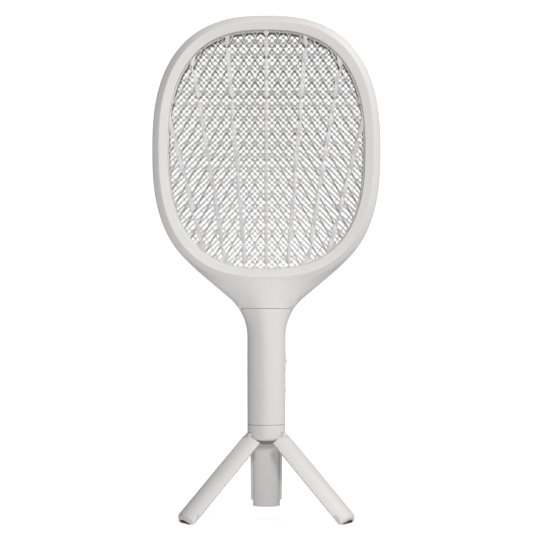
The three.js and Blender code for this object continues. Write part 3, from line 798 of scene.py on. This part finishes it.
def wire_ends(offset, slant):
    """Where a 45 degree line at a distance offset from the head's centre meets the net's rim."""
    along = np.array([1, slant]) / math.sqrt(2)
    across = np.array([-slant, 1]) / math.sqrt(2)
    ends = []
    for sense in (1, -1):
        low, high = 0.0, 180.0
        for _ in range(22):
            t = (low + high) / 2
            x, z = across * offset + along * t * sense
            low, high = (t, high) if outside_by(x, NET_CROSS_Z + z) < 0.4 else (low, t)
        ends.append(low * sense)
    return along, across, sorted(ends)


def woven_wire(bm, offset, slant, phase):
    """One wire of the net: it passes over and under the wires that cross it."""
    along, across, (start, end) = wire_ends(offset, slant)
    if end - start < 3:
        return
    first = math.ceil(start / WIRE_GAP)
    last = math.floor(end / WIRE_GAP)
    stations = [start] + [k * WIRE_GAP for k in range(first, last + 1)] + [end]
    rings = []
    for t in stations:
        x, z = across * offset + along * t
        over = 1 if (round(t / WIRE_GAP) + phase) % 2 else -1
        y = NET_Y + WEAVE * over
        ring = []
        for u, v in ((1, 0), (0, 1), (-1, 0), (0, -1)):
            wide = across * u * WIRE_R
            ring.append(bm.verts.new((x + wide[0], v * WIRE_R - y, NET_CROSS_Z + z + wide[1])))
        rings.append(ring)
    for a, b in zip(rings, rings[1:]):
        for j in range(4):
            k = (j + 1) % 4
            bm.faces.new((a[j], a[k], b[k], b[j]))
    bm.faces.new(rings[0])
    bm.faces.new(rings[-1])


def net_mesh():
    bm = bmesh.new()
    count = int(170 / WIRE_GAP)
    for k in range(-count, count + 1):
        woven_wire(bm, k * WIRE_GAP, 1, k)
        woven_wire(bm, k * WIRE_GAP, -1, k + 1)
    return bm


def add_nets():
    front = merge(net_mesh(), oval_band(-0.6, 3.5, -2.6, -2.0, edge=0.1))
    rear = mirrored(front)
    place(make("front_wire_net", front, 80), "racket", "net_metal", "front_net")
    place(make("rear_wire_net", rear, 80), "racket", "net_metal", "rear_net")
    spacer = oval_band(-0.9, 3.5, -1.7, 1.7, edge=0.25)
    place(make("net_spacer_ring", spacer), "racket", "shell", "net_spacer")


# ---------- handle ----------
BEZEL_Z, BEZEL_HALF, BEZEL_RISE = 151.7, 4.0, 9.25
BUTTON_Z, BUTTON_R = 125.5, 5.05
PORT_Z = 98.0
LENS_R, LENS_AT = 1.2, (7, 0, PORT_Z + 4.5)


def half_oval(z, inset, side):
    """Half of the handle's section at one height, inset mm inside its surface."""
    power = 2 / float(roundness(z))
    a, b = float(half_width(z)) - inset, float(half_depth(z)) - inset
    return [(a * math.copysign(abs(math.cos(t)) ** power, math.cos(t)),
             side * max(b * math.sin(t) ** power, PARTING), z)
            for t in np.linspace(0.012, math.pi - 0.012, 49)]


def handle_half(side):
    """One half of the handle's casing, eased at its seams. side is -1 for the front, 1 for the rear."""
    low, high = HUB_SEAM_Z + PARTING, NECK_SEAM_Z - PARTING
    low_edge, high_edge = 0.25, 0.06
    heights = [low, low + low_edge, *np.linspace(low + 1.2, FLARE_Z, 14),
               *np.linspace(FLARE_Z + 2, high - 1.2, 16), high - high_edge, high]
    rows = []
    for z in heights:
        edge = {low: low_edge, high: high_edge}.get(z, 0)
        rows.append(half_oval(z, edge, side) + half_oval(z, WALL, side)[::-1])
    bm = grid(rows, wrap_columns=True)
    count = len(rows[0]) // 2
    bm.verts.ensure_lookup_table()
    for base in (0, (len(rows) - 1) * 2 * count):
        for j in range(count - 1):
            outer = (base + j, base + j + 1)
            inner = (base + 2 * count - 1 - j, base + 2 * count - 2 - j)
            bm.faces.new([bm.verts[i] for i in (outer[0], outer[1], inner[1], inner[0])])
    return bm


def neck_spigot(side):
    """A lip that stands up inside the neck and closes the seam from within."""
    low, high = NECK_SEAM_Z - 4, NECK_SEAM_Z + 2.4
    corners = ((low, 2.15), (high - 0.2, 2.3), (high, 2.9), (low, 3.2))
    rows = [half_oval(z, inset, side) for z, inset in corners]
    bm = grid(rows, wrap_rows=True)
    bm.verts.ensure_lookup_table()
    width = len(rows[0])
    for j in (0, width - 1):
        bm.faces.new([bm.verts[width * i + j] for i in range(len(rows))])
    return bm


def side_windows():
    """Cutting tools for the openings of the switch plate and the push button."""
    plate = stadium(BEZEL_HALF + GAP, BEZEL_RISE + GAP, 2.3, z=BEZEL_Z)
    button = [(BUTTON_R + GAP, 10), (BUTTON_R + GAP, BEYOND)]
    return [extrude(plate, 10, BEYOND, "x"), lathe(button, 56, "x", (0, 0, BUTTON_Z))]


def add_handle():
    front = cut(handle_half(-1), *side_windows())
    front = merge(front, neck_spigot(-1))
    place(make("front_handle_shell", front, 40), "racket", "shell", "handle_front_shell")
    socket = extrude(stadium(4.8, 1.9, 1.85, z=PORT_Z), 8, BEYOND, "y")
    light = lathe([(LENS_R + GAP, 8), (LENS_R + GAP, BEYOND)], 32, "y", LENS_AT)
    holes = [counterbore(*screw) for screw in HANDLE_SCREWS]
    rear = cut(handle_half(1), *side_windows(), socket, light, *holes)
    rear = merge(rear, neck_spigot(1))
    place(make("rear_handle_shell", rear, 40), "racket", "shell", "handle_rear_shell")


# ---------- controls ----------
def domed_plate(half_u, half_v, radius, levels):
    """A plate facing right with eased edges: levels holds (x, how far the outline is drawn in there)."""
    rows = []
    for x, inset in levels:
        outline = stadium(half_u - inset, half_v - inset, radius - inset * 0.5, z=BEZEL_Z)
        rows.append([(x, u, v) for u, v in outline])
    return grid(rows, wrap_columns=True, cap_ends=True)


def add_bezel():
    levels = [(15.9, 0.2), (16.1, 0), (18.2, 0), (18.55, 0.12), (18.75, 0.42), (18.8, 0.8)]
    plate = domed_plate(BEZEL_HALF, BEZEL_RISE, 2.0, levels)
    slot = extrude(stadium(1.4, 4.4, 0.5, z=BEZEL_Z), 10, BEYOND, "x")
    recess = extrude(stadium(3.0, 6.2, 1.6, z=BEZEL_Z), 18.35, BEYOND, "x")
    dots = [lathe([(0.35, 18.4), (0.35, BEYOND)], 20, "x", (0, 0, BEZEL_Z + step)) for step in (-7.6, 7.6)]
    plate = cut(plate, slot, recess, *dots)
    place(make("switch_bezel_plate", plate), "racket", "control_plastic", "switch_bezel")


def add_knob():
    levels = [(18.5, 0.1), (18.6, 0), (19.5, 0), (19.75, 0.15), (19.85, 0.35)]
    grip = domed_plate(2.6, 1.5, 0.7, levels)
    stem = extrude(stadium(1.1, 1.1, 0.3, 4, BEZEL_Z), 10.6, 18.6, "x")
    ridges = [extrude(stadium(2.0, 0.22, 0.2, 4, BEZEL_Z + step), 19.7, 20.0, "x")
              for step in (-0.8, 0, 0.8)]
    knob = make("mode_slider_knob", merge(grip, stem, *ridges))
    place(knob, "mode_slider", "control_plastic", "mode_slider")


def add_button():
    r = BUTTON_R
    flange = [(5.6, 12.9), (5.6, 14.0), (r, 14.0)]
    edge = [(r, 17.9), (r - 0.08, 18.2), (r - 0.25, 18.45), (r - 0.55, 18.63), (r - 0.95, 18.71)]
    dish = [(r - 1.6, 18.68), (2.6, 18.56), (1.4, 18.50), (0.3, 18.48)]
    body = lathe(flange + edge + dish, 64, "x", (0, 0, BUTTON_Z))
    place(make("trigger_button_cap", body), "trigger", "control_plastic", "trigger_button")


def add_charging():
    half_u, half_v, wall = 4.5, 1.6, 0.38
    shell = extrude(stadium(half_u, half_v, 1.55, 10, PORT_Z), 8.5, 17.9, "y")
    cavity = extrude(stadium(half_u - wall, half_v - wall, 1.2, 10, PORT_Z), 11, BEYOND, "y")
    tongue = extrude(stadium(3.3, 0.35, 0.12, 4, PORT_Z), 10.8, 17.0, "y")
    place(make("charge_socket_shell", merge(cut(shell, cavity), tongue)), "racket", "steel", "charge_socket")
    lens = lathe([(LENS_R, 8.5), (LENS_R, 16.7), (1.1, 16.95), (0.8, 17.12), (0.3, 17.2)], 32, "y", LENS_AT)
    place(make("charge_light_lens", lens), "racket", "light_pipe", "charge_light")


# ---------- screws ----------
def screw_mesh(x, z, head, length):
    """Pan-head screw along Y with a cross recess and a threaded shank."""
    r, under, tip = SCREW_HEAD, head - SCREW_HEAD_T, head - length
    dome = [(0.2, 0), (0.9, 0.03), (1.6, 0.14), (2.1, 0.38), (2.4, 0.75), (r, 1.1)]
    profile = [(radius, head - drop) for radius, drop in dome]
    profile += [(r, under), (1.1, under), (1.1, under - 1.2)]
    y = under - 1.5
    while y > tip + 1.2:
        profile += [(1.2, y), (0.95, y - THREAD_PITCH / 2)]
        y -= THREAD_PITCH
    profile += [(0.9, tip + 0.8), (0.25, tip)]
    body = lathe(profile, 32, "y", (x, 0, z))
    arm, half = 1.35, 0.27
    slots = [block(x - u, x + u, head - 0.85, head + 1, z - v, z + v) for u, v in ((arm, half), (half, arm))]
    return cut(body, *slots)


def add_screw(name, node, spot, length):
    place(make(name, screw_mesh(*spot, length)), "racket", "steel", node)


def add_screws():
    for i, spot in enumerate(RING_SCREWS, 1):
        add_screw(f"ring_casing_screw_{i}", f"ring_screw_{i}", spot, 21)
    add_screw("neck_casing_screw", "neck_screw", NECK_SCREW, 24)
    for i, spot in enumerate(HANDLE_SCREWS, 1):
        add_screw(f"handle_casing_screw_{i}", f"handle_screw_{i}", spot, 18)


# ---------- tripod hub ----------
EAR_R, EAR_HALF, SLOT_HALF = 3.2, 3.2, 3.5
SKIRT_Z, SKIRT_R = 82.8, 16.75
HUB_LOW, HUB_ROUND = 75.4, 2.0
SLOT_LOW = 60.0           # the slots' cutting tools start here, below the hub
PIN_R = 1.25


def add_hub():
    r, top = HANDLE_R, HUB_SEAM_Z - PARTING
    plug, plug_top, edge = r - WALL - GAP, HUB_SEAM_Z + 3, 0.25
    rim = arc(r - HUB_ROUND, HUB_LOW + HUB_ROUND, HUB_ROUND, -90, 0, 7)
    shoulder = [(r, top - edge), (r - edge, top), (plug, top)]
    lip = [(plug, plug_top - 0.4), (plug - 0.4, plug_top), (0.5, plug_top)]
    body = lathe([(0.5, HUB_LOW)] + rim + shoulder + lip, 144)
    tools = []
    room = EAR_R + 0.6
    for azimuth in LEGS.values():
        well = block(PIVOT_R - room, SKIRT_R, -SLOT_HALF, SLOT_HALF, SLOT_LOW, PIVOT_Z + room)
        gate = block(SKIRT_R - 0.1, BEYOND, -SLOT_HALF, SLOT_HALF, SLOT_LOW, SKIRT_Z)
        tools += [turn(well, azimuth), turn(gate, azimuth)]
    body = cut(body, *tools)
    body = rounded(body, 0.22, 2, 50)
    place(make("tripod_hub_body", body), "racket", "shell", "tripod_hub")


# ---------- legs ----------
LEG_TOP, LEG_END, LEG_FILLET = 8.0, 110.7, 4.5
LEG_SPLIT, LEG_FLANK, LEG_FOOT = 0.4, 13.5, 5.9
COVER_NEAR, COVER_EDGE, COVER_T = 4.95, 8.1, 1.8
COVER_R = (LEG_FLANK ** 2 + (COVER_EDGE - COVER_NEAR) ** 2) / (2 * (COVER_EDGE - COVER_NEAR))
COVER_X = COVER_NEAR + COVER_R
BULGE_X, BULGE_DEEP, BULGE_HALF = 12.7, 9.5, 13.4     # elliptic arc of the inner cover
BULGE_BACK = 11.2                                     # half the width of the cover's hidden side
FLANK_END, FLANK_CUT, FLANK_ROUND = 100.5, 13.9, 2.2
LONG = 300.0                                          # cutting tools reach this far past the leg
PAD_R, PAD_T, PAD_PROUD = 13.2, 2.8, 0.6
PAD_TOP = PAD_T - PAD_PROUD - LEG_END


def under_floor(lift):
    """All that would be below the floor when the leg stands open, in the folded leg's frame."""
    bm = block(-LONG, LONG, -LONG, LONG, -LONG, lift - PIVOT_Z)
    turn(bm, OPEN_ANGLE, "Y")
    return shift(bm, (PIVOT_R, 0, 0))


def bulge(inset, half, steps=36):
    """The inner cover's convex arc, inset mm inside its face."""
    deep, wide = BULGE_DEEP - inset, BULGE_HALF - inset
    sweep = math.asin(half / wide)
    return [(BULGE_X - deep * math.cos(t), wide * math.sin(t)) for t in np.linspace(sweep, -sweep, steps)]


def flank_ends():
    """Room past the ends of the shell's flanks, which stop short of the foot with a rounded corner."""
    top, low = FLANK_ROUND - FLANK_END, -140
    corner = arc(FLANK_CUT + 0.5, top, FLANK_ROUND, -90, 0, 7)
    outline = [(FLANK_CUT, low), (FLANK_CUT, -FLANK_END)] + corner + [(BEYOND, top), (BEYOND, low)]
    return [extrude([(side * y, w) for y, w in outline], -BEYOND, BEYOND, "x") for side in (1, -1)]


def leg_envelope():
    """A third of the handle's column, with a round foot: the folded leg's outer limits."""
    r, edge = HANDLE_R, 0.8
    corner = arc(r - LEG_FILLET, LEG_FILLET - LEG_END, LEG_FILLET, -90, 0, 10)
    top = [(r, -LEG_TOP - edge), (r - 0.3 * edge, -LEG_TOP - 0.3 * edge), (r - edge, -LEG_TOP)]
    column = lathe([(0.5, -LEG_END)] + corner + top + [(0.5, -LEG_TOP)], 180)
    apex, reach = LEG_SPLIT / math.sin(math.pi / 3), 40
    wide = reach * math.sqrt(3)
    wedge = extrude([(apex, 0), (apex + reach, -wide), (apex + reach, wide)], -LONG, LONG)
    return cut(column, wedge, operation="INTERSECT")


def ear_mesh():
    """The leg's knuckle round its pin, with a heel that meets the hub's skirt when the leg is open."""
    cos, sin = math.cos(OPEN_ANGLE), math.sin(OPEN_ANGLE)
    stop = SKIRT_Z - GAP - PIVOT_Z
    outer = HANDLE_R - PIVOT_R
    inner = (EAR_R * cos + stop * sin, -(EAR_R * sin - stop * cos))
    tip = (outer, -(outer * sin - stop) / cos)
    root = -LEG_TOP - 2
    knuckle = arc(0, 0, EAR_R, 45.5, 180, 22)
    outline = knuckle + [(-EAR_R, root), (outer, root), tip, inner]
    plate = extrude([(PIVOT_R + u, w) for u, w in outline], -EAR_HALF, EAR_HALF, "y")
    column = lathe([(HANDLE_R, -40), (HANDLE_R, 40)], 180)
    plate = cut(plate, column, operation="INTERSECT")
    bore = lathe([(PIN_R + 0.06, -9), (PIN_R + 0.06, 9)], 32, "y", (PIVOT_R, 0, 0))
    return cut(plate, bore)


def pad_column(grow, low, top):
    """The foot pad's column between two heights, grow mm larger all round."""
    disc = lathe([(PAD_R + grow, low), (PAD_R + grow, top)], 120)
    r = COVER_R - COVER_T - 2 * GAP + grow
    inner = lathe([(r, low - 5), (r, top + 5)], 200, "z", (COVER_X, 0, 0))
    return cut(disc, inner, operation="INTERSECT")


def nub(w, side):
    """A small stop on a cut face, which keeps the folded legs from rubbing."""
    dome = lathe([(0.85, -0.4), (0.85, 0.05), (0.7, 0.2), (0.45, 0.28), (0.15, 0.31)], 24)
    along, reach = math.radians(60), 16.9
    turn(dome, -side * math.pi / 2, "X")
    turn(dome, side * along)
    x = reach * math.cos(along) + LEG_SPLIT * math.sin(along)
    y = side * (reach * math.sin(along) - LEG_SPLIT * math.cos(along))
    return shift(dome, (x, y, w))


def leg_shell():
    """The leg's outer trough with its ear and the nubs on its cut faces."""
    step = 7.9
    near = [(-COVER_EDGE, -LEG_FLANK), (-COVER_EDGE, LEG_FLANK), (step, LEG_FLANK)]
    near += bulge(COVER_T + GAP, BULGE_BACK) + [(step, -LEG_FLANK)]
    hollow = lathe([(HANDLE_R - WALL, LEG_FOOT - LEG_END), (HANDLE_R - WALL, -LEG_TOP - 2)], 120)
    room = block(-BEYOND, BEYOND, -LEG_FLANK, LEG_FLANK, -LONG, LONG)
    hollow = cut(hollow, room, operation="INTERSECT")
    recess = pad_column(GAP, -140, PAD_TOP + GAP)
    trough = cut(leg_envelope(), extrude(near, -LONG, LONG), hollow, recess, under_floor(GAP), *flank_ends())
    trough = rounded(trough, 0.35, 3, 40)
    ear = rounded(ear_mesh(), 0.25, 2, 50)
    length = LEG_END - LEG_TOP
    nubs = [nub(-LEG_TOP - share * length, side) for share in (0.247, 0.683) for side in (1, -1)]
    return merge(trough, ear, *nubs)


def leg_cover():
    outline = bulge(0, LEG_FLANK - 0.45) + bulge(COVER_T, BULGE_BACK)[::-1]
    panel = cut(extrude(outline, -LEG_END, -LEG_TOP - GAP), under_floor(GAP))
    return rounded(panel, 0.4, 3, 40)


def foot_pad():
    pad = pad_column(0, -LEG_END - PAD_PROUD, PAD_TOP)
    return rounded(cut(pad, under_floor(0)), 0.3, 3, 40)


def open_leg(bm, azimuth):
    """Swings a folded leg open about its pin and turns it to its place round the hub."""
    shift(bm, (-PIVOT_R, 0, 0))
    turn(bm, -OPEN_ANGLE, "Y")
    shift(bm, (PIVOT_R, 0, PIVOT_Z))
    return turn(bm, azimuth)


def leg_pin():
    """The hinge pin with its two rounded ends."""
    half = [(PIN_R, 6.7), (1.15, 6.9), (0.9, 7.0)]
    profile = [(r, -y) for r, y in half[::-1]] + half
    return lathe(profile, 36, "y", (PIVOT_R, 0, PIVOT_Z))


def add_legs():
    parts = [(leg_shell(), "shell", "leg_shell", "leg_casing"),
             (leg_cover(), "shell", "leg_cover", "leg_inner_cover"),
             (foot_pad(), "rubber", "foot_pad", "rubber_foot")]
    for name, azimuth in LEGS.items():
        for master, slot, node, label in parts:
            piece = make(f"{label}_{name}", open_leg(master.copy(), azimuth), 35)
            place(piece, f"leg_{name}", slot, f"{node}_{name}")
        pin = make(f"leg_pin_{name}", turn(leg_pin(), azimuth))
        place(pin, "racket", "steel", f"hinge_pin_{name}")


# ---------- pieces inside the casing ----------
def finish_inner_nodes():
    """The hidden pieces keep their CAD shape and take their own finish."""
    slots = {"circuit_board": "board", "charge_board": "board", "hv_transformer": "yellow_film",
             "hv_capacitor": "cell_wrap", "battery_cell": "cell_wrap",
             "slide_switch_body": "component_plastic", "tact_switch": "component_plastic",
             "tact_plunger": "component_plastic", "live_lead": "red_lead", "ground_lead": "black_lead"}
    for name, slot in slots.items():
        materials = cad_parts[name].data.materials
        materials.clear()
        materials.append(MATERIALS[slot])


# ---------- floor and light ----------
def add_backdrop():
    """A wide white dish, lit evenly by itself so that only faint shadows fall on it near the object."""
    flat, bend, rise, sides = 5.2, 1.6, 9.0, 96
    profile = [(0.02, 0.0), (1.5, 0.0), (3.0, 0.0), (flat, 0.0)]
    curve = np.linspace(0.1, math.pi / 2, 14)
    profile += [(flat + bend * math.sin(t), bend - bend * math.cos(t)) for t in curve]
    profile.append((flat + bend, rise))
    turns = np.linspace(0, 2 * math.pi, sides, endpoint=False)
    rows = [[(r * math.cos(t), r * math.sin(t), z) for t in turns] for r, z in profile]
    bm = grid(rows, wrap_columns=True)
    bm.faces.new(bm.verts[:sides])
    bmesh.ops.recalc_face_normals(bm, faces=bm.faces)
    bmesh.ops.reverse_faces(bm, faces=bm.faces)
    mesh = bpy.data.meshes.new("backdrop")
    bm.to_mesh(mesh)
    bm.free()
    mesh.polygons.foreach_set("use_smooth", [True] * len(mesh.polygons))
    floor = bpy.data.objects.new("backdrop", mesh)
    bpy.context.scene.collection.objects.link(floor)
    floor.data.materials.append(paper())
    floor.visible_diffuse = False
    floor.visible_glossy = False


def paper():
    """White paper whose own light rises away from the object."""
    material = speckled("paper", (0.24, 0.24, 0.24), (0.26, 0.26, 0.26), (0.85, 0.95), 2, 400, bump=0.02)
    tree = material.node_tree
    shader = tree.nodes["Principled BSDF"]
    shader.inputs["Emission Color"].default_value = (1, 1, 1, 1)
    coords = tree.nodes.new("ShaderNodeTexCoord")
    length = tree.nodes.new("ShaderNodeVectorMath")
    length.operation = "LENGTH"
    link(tree, coords, "Object", length, 0)
    rise = add_node(tree, "MapRange", From_Min=0.4, From_Max=2.2, To_Min=0.86, To_Max=1.02)
    link(tree, length, "Value", rise, "Value")
    link(tree, rise, "Result", shader, "Emission Strength")
    return material


def add_light(name, place_at, aim, size, power, colour=(1, 1, 1)):
    data = bpy.data.lights.new(name, "AREA")
    data.shape = "DISK"
    data.size = size
    data.energy = power
    data.color = colour
    light = bpy.data.objects.new(name, data)
    light.visible_camera = False
    light.location = place_at
    light.rotation_euler = (Vector(aim) - Vector(place_at)).to_track_quat("-Z", "Y").to_euler()
    bpy.context.scene.collection.objects.link(light)


def add_lights():
    """Pale light from below, a soft lamp near the camera, a larger one above right, a weak one behind."""
    distance = 4.0
    scene = bpy.context.scene
    scene.view_settings.view_transform = "Standard"
    world = bpy.data.worlds.new("studio")
    scene.world = world
    world.use_nodes = True
    tree = world.node_tree
    background = tree.nodes["Background"]
    background.inputs["Strength"].default_value = 1.0
    coords = tree.nodes.new("ShaderNodeTexCoord")
    parts = tree.nodes.new("ShaderNodeSeparateXYZ")
    link(tree, coords, "Generated", parts, "Vector")
    height = add_node(tree, "MapRange", From_Min=-0.25, From_Max=0.25)
    height.interpolation_type = "SMOOTHSTEP"
    link(tree, parts, "Z", height, "Value")
    shades = blend_colours(tree, height, "Result", (0.66, 0.66, 0.66), (0.07, 0.07, 0.072))
    link(tree, shades, "Result", background, "Color")
    middle = Vector((AXIS_X, AXIS_Y, 0.26))
    front = Vector((0.066, -0.962, 0.265)) * distance
    above = Vector((0.624, -0.198, 0.754)) * distance
    behind = Vector((-0.1, 1.55, 0.75))
    add_light("front_lamp", middle + front, middle, 0.32, 88, (1.0, 0.995, 0.985))
    add_light("top_lamp", middle + above, middle, 0.9, 100)
    add_light("back_lamp", middle + behind, middle, 1.2, 12)


add_head_frames()
add_grilles()
add_nets()
add_handle()
add_bezel()
add_knob()
add_button()
add_charging()
add_screws()
add_hub()
add_legs()
finish_inner_nodes()
add_backdrop()
add_lights()
